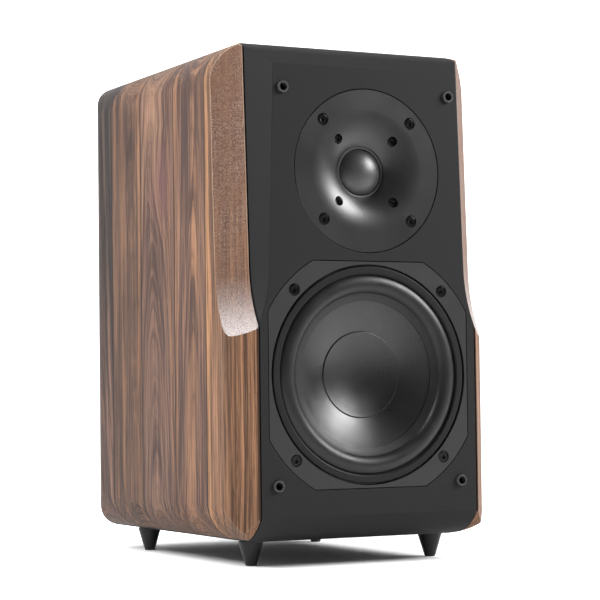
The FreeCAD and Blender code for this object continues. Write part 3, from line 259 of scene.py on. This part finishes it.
def scooped_face(g, tone, rounded, late):
    """The cheek cut across the fibres: paler, speckled like end grain, with a lighter arris that is
    partly edge wear and partly a painted highlight, and a painted highlight on the low run-out.

    Returns the tone and the weight of the coat.
    """
    true = g.add("NewGeometry").outputs["Normal"]
    front = g.math("MULTIPLY", g.split(true)[1], -1.0)
    height = g.split(g.place)[2]
    rising = g.ramp(g.split(true)[2], (0.01, 0.0), (0.04, 1.0))
    cut = g.math("MULTIPLY", g.ramp(front, (0.25, 0.0), (0.40, 1.0)),
                 g.math("MAXIMUM", g.ramp(height, (0.232, 0.0), (0.243, 1.0)), rising))
    speckle = g.noise((760, 760, 900), 1.0, 4.0, 0.75)
    arches = g.noise((90, 90, 620), 1.0, 4.0, 0.7)
    cloud = g.noise((30, 30, 22), 1.0, 3.0, 0.6)
    pale = g.ramp(speckle, (0.36, srgb(52, 38, 33)), (0.48, srgb(90, 69, 59)),
                  (0.64, srgb(134, 112, 100)))
    pale = g.mix(g.ramp(arches, (0.36, 0.65), (0.50, 0.0)), pale, srgb(66, 48, 42))
    pale = g.mix(g.ramp(cloud, (0.36, 0.60), (0.60, 0.0)), pale, srgb(92, 64, 47))
    pale = g.mix(g.math("MULTIPLY", late, 0.25), pale, srgb(84, 60, 52))
    share = g.ramp(height, (0.26, 0.60), (0.33, 0.90))
    tone = g.mix(g.math("MULTIPLY", cut, share), tone, pale)
    # painted highlight: the low run-out of the cheek is mixed toward a pale grey-white speckle
    tone = g.mix(g.math("MULTIPLY", cut, g.ramp(height, (0.185, 0.75), (0.235, 0.0))), tone,
                 g.ramp(speckle, (0.40, srgb(84, 72, 70)), (0.50, srgb(148, 138, 137))))
    # the arris is lightened, partly as edge wear and partly as a painted highlight
    turn = g.add("VectorMath", _operation="DOT_PRODUCT", i0=true, i1=rounded).outputs["Value"]
    worn_and_highlit_arris = g.ramp(turn, (0.92, 0.8), (0.997, 0.0))
    tone = g.mix(g.math("MULTIPLY", worn_and_highlit_arris, g.ramp(height, (0.23, 0.25), (0.26, 1.0))), tone,
                 srgb(204, 176, 152))
    return tone, g.math("MULTIPLY", cut, g.ramp(height, (0.20, 0.6), (0.26, 0.1)))


def lacquer(name, shade, rough=0.46, grain=0.00002, level=0.11):
    """Satin paint with a faint orange peel and slight rub marks."""
    g = Graph(name)
    peel = g.noise((1, 1, 1), 900, 2.0, 0.5)
    cloud = g.noise((1, 1, 1), 14, 3.0, 0.6)
    tone = g.mix(cloud, tuple(0.92 * c for c in shade), tuple(1.08 * c for c in shade))
    sheen = g.ramp(cloud, (0.3, rough - 0.03), (0.7, rough + 0.04))
    return g.finish(Base_Color=tone, Roughness=sheen,
                    Normal=g.bump(peel, grain, 0.6, g.eased(0.0006)), Specular_IOR_Level=level)


def coated_alloy(name, shade, rough=0.34, level=0.5):
    """Fine powder coat on a casting or a turned plate."""
    g = Graph(name)
    grit = g.noise((1, 1, 1), 2600, 3.0, 0.6)
    cloud = g.noise((1, 1, 1), 22, 3.0, 0.6)
    tone = g.mix(grit, tuple(0.85 * c for c in shade), tuple(1.15 * c for c in shade))
    sheen = g.ramp(cloud, (0.3, rough - 0.03), (0.7, rough + 0.05))
    return g.finish(Base_Color=tone, Roughness=sheen, Normal=g.bump(grit, 0.00003, 0.5),
                    Specular_IOR_Level=level)


def rubber(name, shade, rough=0.42):
    """Soft rubber with mould bloom."""
    g = Graph(name)
    bloom = g.noise((1, 1, 1), 60, 5.0, 0.65)
    skin = g.noise((1, 1, 1), 1800, 2.0, 0.5)
    tone = g.mix(bloom, tuple(0.8 * c for c in shade), tuple(1.25 * c for c in shade))
    sheen = g.ramp(bloom, (0.3, rough - 0.05), (0.7, rough + 0.08))
    return g.finish(Base_Color=tone, Roughness=sheen, Normal=g.bump(skin, 0.00002, 0.5),
                    Specular_IOR_Level=0.25)


def pulp(name, shade, rough=0.40):
    """Coated paper pulp, with short fibres felted at random."""
    g = Graph(name)
    fibre = g.add("TexNoise", Vector=g.place, Scale=700.0, Detail=5.0, Roughness=0.7,
                  Distortion=2.5).outputs[0]
    cloud = g.noise((1, 1, 1), 45, 4.0, 0.6)
    tone = g.mix(fibre, tuple(0.75 * c for c in shade), tuple(1.3 * c for c in shade))
    sheen = g.ramp(cloud, (0.3, rough - 0.04), (0.7, rough + 0.06))
    return g.finish(Base_Color=tone, Roughness=sheen, Normal=g.bump(fibre, 0.00010, 0.6),
                    Specular_IOR_Level=0.40)


def woven(name, shade, pitch, rough=0.5, depth=0.00006, sheen=0.0):
    """A plain weave, its warp and weft as two crossed waves."""
    g = Graph(name)
    scale = 1.0 / pitch / 2.0
    warp = g.add("TexWave", _bands_direction="X", Vector=g.place, Scale=scale * 0.314).outputs["Fac"]
    weft = g.add("TexWave", _bands_direction="Z", Vector=g.place, Scale=scale * 0.314).outputs["Fac"]
    cloth = g.math("MULTIPLY", warp, weft)
    fuzz = g.noise((1, 1, 1), 900, 3.0, 0.6)
    tone = g.mix(g.math("ADD", g.math("MULTIPLY", cloth, 0.6), g.math("MULTIPLY", fuzz, 0.4)),
                 tuple(0.7 * c for c in shade), tuple(1.25 * c for c in shade))
    return g.finish(Base_Color=tone, Roughness=rough, Normal=g.bump(cloth, depth, 0.6),
                    Sheen_Weight=sheen)


def metal(name, shade, rough, brushed=0.0):
    """Bare or plated metal with fine scratches."""
    g = Graph(name)
    scratch = g.noise((2200, 90, 90) if brushed else (400, 400, 400), 1.0, 3.0, 0.6)
    tone = g.mix(scratch, tuple(0.85 * c for c in shade), shade)
    sheen = g.ramp(scratch, (0.2, max(rough - 0.08, 0.02)), (0.8, rough + 0.08))
    return g.finish(Base_Color=tone, Roughness=sheen, Metallic=1.0,
                    Normal=g.bump(scratch, 0.00001, 0.4))


def windings(name, shade, pitch):
    """Enamelled wire, laid turn beside turn."""
    g = Graph(name)
    turns = g.add("TexWave", _bands_direction="Y", Vector=g.place,
                  Scale=0.314 / pitch).outputs["Fac"]
    tone = g.mix(turns, tuple(0.55 * c for c in shade), shade)
    return g.finish(Base_Color=tone, Roughness=0.3, Metallic=0.9,
                    Normal=g.bump(turns, 0.0001, 0.6))


def fibreboard(name, shade):
    """Bare pressed fibre."""
    g = Graph(name)
    fibre = g.noise((1, 1, 1), 420, 5.0, 0.7)
    tone = g.mix(fibre, tuple(0.75 * c for c in shade), tuple(1.15 * c for c in shade))
    return g.finish(Base_Color=tone, Roughness=0.8, Normal=g.bump(fibre, 0.0001, 0.5))


BLACK = srgb(26, 26, 27)
PLUM = srgb(56, 40, 38)
AMBER = srgb(132, 95, 68)
materials = {
    "walnut_front": walnut("walnut_front", "left_side_stave_1", (-0.060, -0.165), (0.01, 0.02),
                           0.0046, (srgb(67, 49, 39), srgb(94, 70, 54), srgb(113, 83, 63),
                                    srgb(134, 98, 73)), 0.40, 1.3,
                           bands=[(FACE + 0.0545, 0.0, 0.0055, srgb(153, 113, 78), 0.65),
                                  (FACE + 0.0440, 0.004, 0.0030, PLUM, 0.45)], scoop=True),
    "walnut_streak": walnut("walnut_streak", "left_side_stave_2", (-0.085, -0.070), (0.02, -0.02),
                            0.0052, (srgb(62, 45, 40), srgb(85, 63, 53), srgb(104, 77, 62),
                                     srgb(122, 91, 70)), 0.45, 3.1,
                            bands=[(FACE + 0.0830, -0.05, 0.0120, AMBER, 0.60),
                                   (FACE + 0.1080, -0.07, 0.0060, PLUM, 0.85),
                                   (FACE + 0.0950, -0.13, 0.0022, PLUM, 0.85),
                                   (FACE + 0.1180, 0.0, 0.0030, AMBER, 0.6)]),
    "walnut_rose": walnut("walnut_rose", "left_side_stave_3", (-0.104, 0.004), (0.07, 0.01),
                          0.0034, (srgb(58, 42, 38), srgb(80, 59, 51), srgb(94, 71, 60),
                                   srgb(109, 84, 68)), 0.45, 5.7,
                          knot=Vector((-0.120, -0.010, 0.318)),
                          bands=[(FACE + 0.1290, 0.02, 0.0035, AMBER, 0.5)]),
    "walnut_tan": walnut("walnut_tan", "left_side_stave_4", (-0.040, 0.050), (0.0, 0.01),
                         0.0042, (srgb(50, 36, 31), srgb(72, 53, 43), srgb(88, 65, 52),
                                  srgb(106, 78, 59)), 0.50, 8.2,
                         bands=[(FACE + 0.1985, 0.0, 0.0035, AMBER, 0.6),
                                (FACE + 0.2350, 0.01, 0.0040, AMBER, 0.45),
                                (FACE + 0.2220, 0.02, 0.0018, PLUM, 0.8)]),
    "walnut_rear": walnut("walnut_rear", "left_side_stave_5", (-0.080, 0.125), (0.02, 0.02),
                          0.0045, (srgb(26, 22, 22), srgb(35, 29, 29), srgb(47, 39, 37),
                                   srgb(67, 54, 48)), 0.50, 11.4,
                          bands=[(FACE + 0.2720, 0.05, 0.0035, srgb(93, 75, 63), 0.4)],
                          foot=(2.9, 2.35, 2.0)),
    "black_lacquer": lacquer("black_lacquer", BLACK, 0.62),
    "inner_board": fibreboard("inner_board", srgb(168, 134, 98)),
    "chassis_black": coated_alloy("chassis_black", srgb(30, 30, 31), 0.42, 0.28),
    "plate_black": coated_alloy("plate_black", srgb(20, 20, 21), 0.33, 0.42),
    "rubber_black": rubber("rubber_black", srgb(18, 18, 18), 0.40),
    "cone_black": pulp("cone_black", srgb(14, 14, 15), 0.29),
    "dome_black": woven("dome_black", srgb(48, 48, 49), 0.00045, 0.40),
    "spider_cloth": woven("spider_cloth", srgb(176, 136, 70), 0.0009, 0.8, 0.0002),
    "former_film": lacquer("former_film", srgb(150, 92, 40), 0.25, level=0.5),
    "copper_wire": windings("copper_wire", srgb(196, 112, 66), 0.0006),
    "motor_steel": metal("motor_steel", srgb(176, 176, 178), 0.34, 1.0),
    "ferrite": fibreboard("ferrite", srgb(52, 52, 54)),
    "screw_black": lacquer("screw_black", srgb(9, 9, 10), 0.14, level=0.3),
    "trim_black": lacquer("trim_black", srgb(24, 24, 24), 0.45, 0.00003),
    "socket_black": rubber("socket_black", srgb(44, 44, 44), 0.5),
    "foam_black": fibreboard("foam_black", srgb(46, 46, 46)),
    "wool_felt": fibreboard("wool_felt", srgb(196, 190, 176)),
    "foot_black": coated_alloy("foot_black", srgb(22, 22, 23), 0.38, 0.25),
    "zinc_steel": metal("zinc_steel", srgb(190, 190, 186), 0.3),
    "post_gold": metal("post_gold", srgb(222, 184, 104), 0.2),
    "cap_red": lacquer("cap_red", srgb(178, 20, 24), 0.25, level=0.5),
    "cap_black": lacquer("cap_black", srgb(30, 30, 30), 0.25, level=0.5),
    "circuit_board": lacquer("circuit_board", srgb(34, 98, 60), 0.35, level=0.5),
    "capacitor_film": lacquer("capacitor_film", srgb(214, 178, 62), 0.3, level=0.5),
    "resistor_white": fibreboard("resistor_white", srgb(222, 220, 210)),
    "lead_black": rubber("lead_black", srgb(40, 40, 40), 0.45),
}


def finish_cad_nodes():
    """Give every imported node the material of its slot."""
    for name, item in nodes.items():
        item.data.materials.clear()
        item.data.materials.append(materials[slot_of[name]])


# ---------------------------------------------------------------- turned pieces

CREASE = math.radians(35)


def bowed(start, end, sag, steps=16):
    """Points on the arc from start to end that stands off its chord by sag, without the start."""
    (r0, d0), (r1, d1) = start, end
    chord = math.hypot(r1 - r0, d1 - d0)
    radius = (chord * chord / 4 + sag * sag) / (2 * abs(sag))
    half = math.asin(min(chord / 2 / radius, 1.0))
    side = math.copysign(1.0, sag)
    across = (-(d1 - d0) / chord * side, (r1 - r0) / chord * side)
    middle = ((r0 + r1) / 2, (d0 + d1) / 2)
    rise = radius * math.cos(half)
    points = []
    for step in range(1, steps + 1):
        angle = half * (2 * step / steps - 1)
        along = radius * math.sin(angle)
        off = radius * math.cos(angle) - rise
        points.append((middle[0] + (r1 - r0) / chord * along + across[0] * off,
                       middle[1] + (d1 - d0) / chord * along + across[1] * off))
    return points


def edge_normals(outline):
    """For each side of a closed outline, the outward normals at its two ends, eased over soft corners."""
    count = len(outline)
    plain = []
    for (r0, d0), (r1, d1) in zip(outline, outline[1:] + outline[:1]):
        length = math.hypot(r1 - r0, d1 - d0)
        plain.append(Vector(((d1 - d0) / length, -(r1 - r0) / length)))
    def eased(first, second):
        soft = plain[first].angle(plain[second]) < CREASE
        return (plain[first] + plain[second]).normalized() if soft else plain[first]
    return [(eased(side, side - 1), eased(side, (side + 1) % count)) for side in range(count)]


def turned(name, outline, centre, first=0.0, last=2 * math.pi, segments=192):
    """A closed outline of (radius, depth) in mm, turned about a driver's axis."""
    turned_area = sum(r0 * d1 - r1 * d0 for (r0, d0), (r1, d1) in
                      zip(outline, outline[1:] + outline[:1]))
    if turned_area < 0:
        outline = outline[::-1]
    whole = last - first > 2 * math.pi - 0.001
    columns = segments if whole else segments + 1
    angles = [first + (last - first) * step / segments for step in range(columns)]
    points, rows = [], []
    for radius, depth in outline:
        row = angles if radius > 1e-6 else angles[:1]
        rows.append([len(points) + step for step in range(len(row))])
        points += [centre + Vector((radius * math.cos(angle), depth, radius * math.sin(angle))) * MM
                   for angle in row]
    normals = edge_normals(outline)
    count = len(outline)
    faces, corners = [], []
    for column in range(segments):
        here, there = column, (column + 1) % columns
        for side in range(count):
            after = (side + 1) % count
            poles = [len(rows[side]) == 1, len(rows[after]) == 1]
            if all(poles):
                continue
            loop = [(here, side, 0), (here, after, 1), (there, after, 1), (there, side, 0)]
            if poles[0]:
                loop.pop()
            elif poles[1]:
                loop.pop(2)
            faces.append([rows[spot][at % len(rows[spot])] for at, spot, _ in loop])
            for at, spot, end in loop:
                radial, depth = normals[side][end]
                if len(rows[spot]) == 1:
                    radial, depth = 0.0, math.copysign(1.0, depth)
                corners.append((radial * math.cos(angles[at]), depth,
                                radial * math.sin(angles[at])))
    mesh = bpy.data.meshes.new(name)
    mesh.from_pydata(points, [], faces)
    mesh.shade_smooth()
    mesh.normals_split_custom_set(corners)
    item = bpy.data.objects.new(name, mesh)
    bpy.context.scene.collection.objects.link(item)
    return item


def dress(item, slot):
    """Give a piece its record's finish."""
    item.data.materials.append(materials[slot])
    return item


def flexing(name, outline, centre, node, slot, sectors=24):
    """A ring between a still rim and a moving one, built as sectors that share their edges."""
    for sector in range(sectors):
        first = 2 * math.pi * sector / sectors
        last = 2 * math.pi * (sector + 1) / sectors
        item = dress(turned("%s_%02d" % (name, sector + 1), outline, centre, first, last,
                            segments=8), slot)
        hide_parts(node)
        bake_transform(item)


def rigid(name, outline, centre, body, node, slot):
    """A whole turned piece that rides on one body and stands for its CAD node."""
    item = dress(turned(name, outline, centre), slot)
    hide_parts(node)
    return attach(item, body)


def woofer():
    """The rubber surround, trim ring, paper cone, inverted cap and corrugated spider."""
    crest, outer, inner = (74.0, -0.8), (81.5, 2.5), (66.5, 3.8)
    roll = [(60.2, 6.0), (63.0, 5.0), (65.9, 3.9), inner]
    roll += quarter_roll(inner, crest)
    roll += quarter_roll(outer, crest)[-2::-1] + [outer, (82.0, 2.5), (88.1, 2.5), (88.1, 3.4)]
    roll += [(80.6, 3.4), (74.0, 0.3), (67.3, 4.8), (66.0, 4.9), (60.2, 6.9)]
    flexing("surround", roll, WOOFER, "woofer_surround", "rubber_black")
    lip = [(82.1, 2.4), (82.1, 0.9)] + bowed((82.1, 0.9), (83.0, 0.05), 0.25, 6)
    lip += [(87.5, 0.05)] + bowed((87.5, 0.05), (88.1, 0.6), 0.15, 6) + [(88.1, 2.4)]
    rigid("trim_ring", lip, WOOFER, "cabinet", "woofer_trim_ring", "trim_black")
    front = bowed((60.0, 7.0), (35.0, 16.0), 0.45)
    cone = [(66.0, 5.0), (60.0, 7.0)] + front + bowed((35.0, 16.0), (19.45, 26.0), 0.2, 8)
    cone += [(19.45, 29.0), (35.4, 17.2), (60.0, 8.2), (66.0, 6.2)]
    rigid("cone", cone, WOOFER, "woofer_diaphragm", "woofer_cone", "cone_black")
    cap = [(0.0, 20.7)] + bowed((0.0, 20.7), (34.6, 15.2), 1.4, 24)
    cap += bowed((34.6, 15.2), (35.6, 15.6), -0.25, 6) + [(34.9, 16.0), (0.0, 21.5)]
    rigid("dust_cap", cap, WOOFER, "woofer_diaphragm", "woofer_dust_cap", "cone_black")
    waves = [(radius, 39.0 + 0.9 * math.sin((radius - 23.0) * math.pi / 3.0))
             for radius in [23.0 + step * 0.5 for step in range(49)]]
    cloth = [(19.8, 39.0)] + waves + [(51.8, 39.0), (51.8, 39.5)]
    cloth += [(radius, depth + 0.5) for radius, depth in reversed(waves)] + [(19.8, 39.5)]
    flexing("spider", cloth, WOOFER, "woofer_spider", "spider_cloth")


def quarter_roll(root, crest, steps=14):
    """The arc of a half roll that starts steeply at its root and is level at the crest."""
    half, rise = abs(crest[0] - root[0]), root[1] - crest[1]
    radius = (half * half + rise * rise) / (2 * rise)
    way = math.copysign(1.0, crest[0] - root[0])
    points = []
    for step in range(1, steps + 1):
        across = half * (1 - step / steps)
        depth = crest[1] + radius - math.sqrt(radius * radius - across * across)
        points.append((crest[0] - way * across, depth))
    return points


def tweeter():
    """The soft surround of the dome."""
    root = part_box("tweeter_surround")
    base = (root[1].y - FACE) / MM
    lift = [(19.1, base - 0.4)] + bowed((19.1, base - 0.4), (22.6, base - 0.4), -1.4, 12)
    ring = lift + [(24.9, base - 0.4), (24.9, base), (22.4, base), (20.8, base - 1.4),
                   (19.1, base)]
    flexing("dome_surround", ring, TWEETER,
            "tweeter_surround", "dome_black", 16)


def wool_pad(node):
    """A felted pad, its faces soft and uneven and its edges round."""
    low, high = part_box(node)
    size = high - low
    thin = min(range(3), key=lambda axis: size[axis])
    mesh = bmesh.new()
    bmesh.ops.create_grid(mesh, x_segments=48, y_segments=48, size=0.5)
    wide = [axis for axis in range(3) if axis != thin]
    shape = bpy.data.meshes.new(node + "_felt")
    upper = list(mesh.verts)
    for vert in upper:
        u, v = vert.co.x, vert.co.y
        rim = min(0.5 - abs(u), 0.5 - abs(v))
        full = math.sqrt(min(rim / 0.04, 1.0))
        lumps = 0.86 + 0.10 * math.sin(23 * u + 4 * v) * math.sin(19 * v - 3 * u)
        lumps += 0.03 * random.uniform(-1, 1)
        place = (low + high) / 2
        place[wide[0]] += u * size[wide[0]]
        place[wide[1]] += v * size[wide[1]]
        place[thin] = low[thin] + size[thin] * (0.5 + 0.5 * full * min(lumps, 1.0))
        vert.co = place
    back = bmesh.ops.duplicate(mesh, geom=mesh.verts[:] + mesh.edges[:] + mesh.faces[:])["geom"]
    for vert in (part for part in back if isinstance(part, bmesh.types.BMVert)):
        vert.co[thin] = low[thin] + high[thin] - vert.co[thin]
    bmesh.ops.reverse_faces(mesh, faces=[part for part in back if isinstance(part, bmesh.types.BMFace)])
    bmesh.ops.remove_doubles(mesh, verts=mesh.verts, dist=1e-6)
    bmesh.ops.recalc_face_normals(mesh, faces=mesh.faces)
    mesh.to_mesh(shape)
    mesh.free()
    shape.shade_smooth()
    pad = bpy.data.objects.new(node + "_felt", shape)
    bpy.context.scene.collection.objects.link(pad)
    dress(pad, "wool_felt")
    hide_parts(node)
    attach(pad, "cabinet")


# ---------------------------------------------------------------- light and camera

def stage():
    """A seamless pale floor and backdrop, large soft lights and the camera."""
    reach = 25.0
    back = 3.4
    radius = 1.0
    wall_top = 6.0
    sink = 0.0001
    steps = 16
    sweep = bmesh.new()
    profile = [(-reach, 0.0), (back, 0.0)]
    for step in range(1, steps + 1):
        angle = math.pi / 2 * step / steps
        profile.append((back + radius * math.sin(angle), radius - radius * math.cos(angle)))
    profile.append((back + radius, wall_top))
    rows = [[sweep.verts.new((x, y, z - sink)) for x in (-reach, reach)] for y, z in profile]
    for lower, upper in zip(rows, rows[1:]):
        sweep.faces.new((lower[0], lower[1], upper[1], upper[0]))
    mesh = bpy.data.meshes.new("backdrop")
    sweep.to_mesh(mesh)
    sweep.free()
    mesh.shade_smooth()
    backdrop = bpy.data.objects.new("backdrop", mesh)
    bpy.context.scene.collection.objects.link(backdrop)
    g = Graph("paper")
    fleck = g.noise((1, 1, 1), 400, 2.0, 0.5)
    away = g.add("VectorMath", _operation="LENGTH", i0=g.place).outputs["Value"]
    depth = g.math("ADD", g.split(g.place)[1], 1.0)
    distant = g.ramp(g.math("MULTIPLY", g.split(g.place)[1], -0.2), (0.40, 0.0), (0.80, 0.8))
    glow = g.math("MULTIPLY", g.ramp(g.math("DIVIDE", away, 2.0), (0.085, 0.0), (0.21, 1.0)),
                  g.math("MAXIMUM", g.ramp(depth, (0.30, 0.0), (0.60, 1.0)), distant))
    paper = g.mix(fleck, (0.86,) * 3, (0.88,) * 3)
    paper = g.mix(g.ramp(depth, (0.05, 0.55), (0.60, 0.0)), paper, (0.30,) * 3)
    mesh.materials.append(g.finish(Base_Color=paper, Roughness=0.9, Emission_Color=(1.0, 1.0, 1.0),
                                   Emission_Strength=glow))
    lights()
    camera()


def area(name, place, target, width, height, power):
    """A rectangular soft box aimed at a point."""
    data = bpy.data.lights.new(name, "AREA")
    data.shape = "RECTANGLE"
    data.size = width
    data.size_y = height
    data.energy = power
    item = bpy.data.objects.new(name, data)
    item.location = place
    item.rotation_euler = (Vector(target) - Vector(place)).to_track_quat("-Z", "Y").to_euler()
    bpy.context.scene.collection.objects.link(item)
    return item


def lights():
    """A pale room, a soft box overhead, a key from the upper right and a wide one at the left."""
    world = bpy.data.worlds.new("studio")
    world.use_nodes = True
    world.node_tree.nodes["Background"].inputs["Color"].default_value = (0.96, 0.98, 1.0, 1.0)
    world.node_tree.nodes["Background"].inputs["Strength"].default_value = 0.13
    bpy.context.scene.world = world
    bpy.context.scene.view_settings.view_transform = "Standard"
    middle = Vector((0.0, 0.0, MIDDLE_Z))
    area("overhead", (-0.5, 0.4, 1.9), middle, 1.0, 1.0, 7)
    area("key", middle + 2.2 * Vector((0.745, -0.455, 0.488)), middle, 1.1, 0.9, 100)
    area("left", middle + 1.6 * Vector((-0.74, -0.05, 0.67)), middle, 1.0, 0.9, 45)


def camera():
    """The camera, low and to the left of the front."""
    yaw, pitch, roll = (math.radians(angle) for angle in (27.242, 2.585, -0.708))
    ahead = Vector((math.sin(yaw) * math.cos(pitch), math.cos(yaw) * math.cos(pitch),
                    math.sin(pitch)))
    level = Vector((math.cos(yaw), -math.sin(yaw), 0.0))
    upright = level.cross(ahead)
    right = level * math.cos(roll) + upright * math.sin(roll)
    up = upright * math.cos(roll) - level * math.sin(roll)
    data = bpy.data.cameras.new("camera")
    data.sensor_width = 36.0
    data.lens = 123.70
    data.clip_start = 0.1
    data.clip_end = 50.0
    stand = (-0.8196, -1.4685 + FACE, 0.140)
    item = bpy.data.objects.new("camera", data)
    turn = Matrix((right, up, -ahead)).transposed().to_4x4()
    item.matrix_world = Matrix.Translation(stand) @ turn
    bpy.context.scene.collection.objects.link(item)
    bpy.context.scene.camera = item


finish_cad_nodes()
woofer()
tweeter()
for side in ("left", "right", "top"):
    wool_pad(side + "_wool_pad")
stage()
